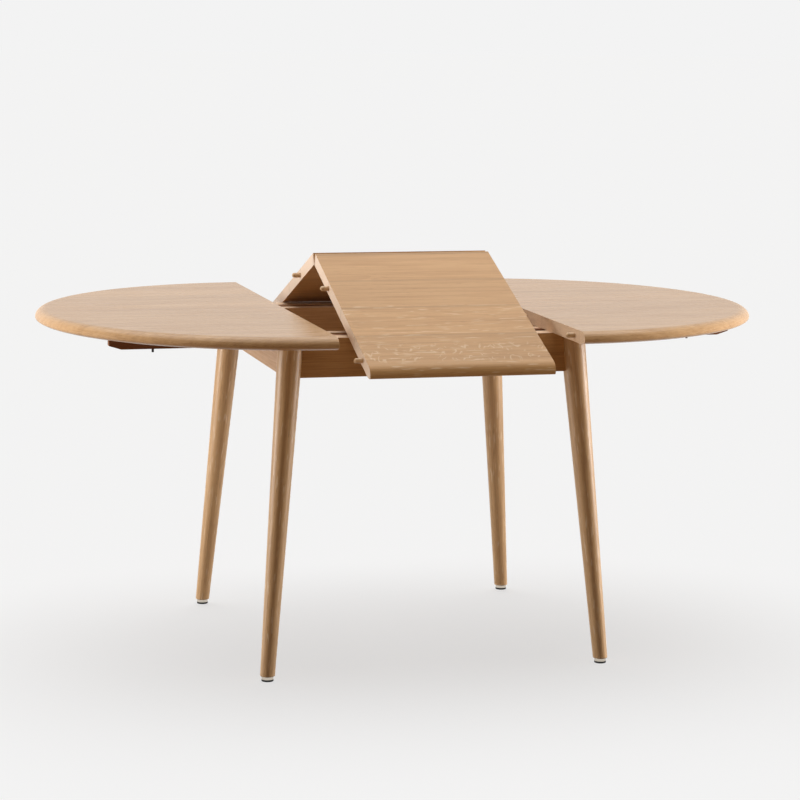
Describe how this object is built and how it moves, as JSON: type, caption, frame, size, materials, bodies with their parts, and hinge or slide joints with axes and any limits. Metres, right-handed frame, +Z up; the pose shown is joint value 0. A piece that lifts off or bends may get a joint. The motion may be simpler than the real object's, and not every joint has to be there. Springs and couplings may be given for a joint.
{
  "type": "butterfly leaf table",
  "caption": "Round oak dining table on splayed tapered legs, its halves drawn apart on runners and a hinged folding leaf set up as a tent over the gap.",
  "frame": {"origin": "on the floor below the middle of the table, half way between the drawn-apart halves", "axes": "+X along the slide towards the half that carries the alignment pins, +Y from front to back, +Z up"},
  "size_m": [1.63, 1.1, 0.88],
  "materials": {
    "oak_half_top": "matt oiled oak, boards along X",
    "oak_leaf": "matt oiled oak, boards along X",
    "oak_leg": "matt oiled oak, grain along the leg",
    "oak_long_apron": "matt oiled oak, grain along X",
    "oak_end_apron": "matt oiled oak, grain along Y",
    "oak_rail": "planed oak, grain along X",
    "oak_bearer": "planed oak, grain along Y",
    "oak_block": "sawn oak",
    "dowel_wood": "turned wood dowel, grain along X",
    "zinc_steel": "zinc-plated steel",
    "hinge_steel": "nickel-plated steel",
    "foot_ring_metal": "bright metal",
    "foot_pad_plastic": "black moulded plastic",
    "stop_plastic": "black moulded plastic"
  },
  "bodies": {
    "frame": {"leg_front_left": "oak_leg", "leg_front_right": "oak_leg", "leg_back_left": "oak_leg", "leg_back_right": "oak_leg", "corner_block_front_left": "oak_block", "corner_block_front_right": "oak_block", "corner_block_back_left": "oak_block", "corner_block_back_right": "oak_block", "foot_pads": "foot_pad_plastic", "foot_rings": "foot_ring_metal", "foot_studs": "zinc_steel", "leg_bolts": "zinc_steel", "leg_bolt_washers": "zinc_steel", "leg_bolt_nuts": "zinc_steel", "corner_block_screws": "zinc_steel", "apron_front": "oak_long_apron", "apron_back": "oak_long_apron", "apron_left": "oak_end_apron", "apron_right": "oak_end_apron", "outer_guide_front": "oak_rail", "outer_guide_back": "oak_rail", "inner_guide_front": "oak_rail", "inner_guide_back": "oak_rail", "leaf_bearer_left": "oak_bearer", "leaf_bearer_right": "oak_bearer", "guide_screws": "zinc_steel", "leaf_bearer_screws": "zinc_steel", "frame_dowels": "dowel_wood"},
    "left_top": {"half_top_left": "oak_half_top", "runner_left_front": "oak_rail", "runner_left_back": "oak_rail", "runner_screws_left": "zinc_steel", "runner_stops_left": "stop_plastic"},
    "right_top": {"half_top_right": "oak_half_top", "runner_right_front": "oak_rail", "runner_right_back": "oak_rail", "runner_screws_right": "zinc_steel", "runner_stops_right": "stop_plastic", "alignment_pins_right": "dowel_wood"},
    "leaf_ridge": {"hinge_pins": "hinge_steel"},
    "leaf_front": {"leaf_panel_front": "oak_leaf", "alignment_pins_leaf_front": "dowel_wood", "hinge_plates_front": "hinge_steel", "hinge_screws_front": "hinge_steel"},
    "leaf_back": {"leaf_panel_back": "oak_leaf", "alignment_pins_leaf_back": "dowel_wood", "hinge_plates_back": "hinge_steel", "hinge_screws_back": "hinge_steel"}
  },
  "joints": [
    {"name": "left_top_slide", "type": "slide", "parent": "frame", "child": "left_top", "axis": [1, 0, 0], "range_m": [0, 0.0725]},
    {"name": "right_top_slide", "type": "slide", "parent": "frame", "child": "right_top", "axis": [-1, 0, 0], "range_m": [0, 0.0525]},
    {"name": "leaf_ridge_drop", "type": "slide", "parent": "frame", "child": "leaf_ridge", "axis": [0, 0, -1], "range_m": [0, 0.12209]},
    {"name": "leaf_front_unfold", "type": "hinge", "parent": "leaf_ridge", "child": "leaf_front", "pos_m": [0.01, 0, 0.85119], "axis": [1, 0, 0], "range_deg": [-20.5, 0]},
    {"name": "leaf_back_unfold", "type": "hinge", "parent": "leaf_ridge", "child": "leaf_back", "pos_m": [0.01, 0, 0.85119], "axis": [1, 0, 0], "range_deg": [0, 20.5]}
  ],
  "couplings": [
    {"joint": "leaf_front_unfold", "follows": "leaf_ridge_drop", "rad_per_m": -2.9306},
    {"joint": "leaf_back_unfold", "follows": "leaf_ridge_drop", "rad_per_m": 2.9306}
  ]
}
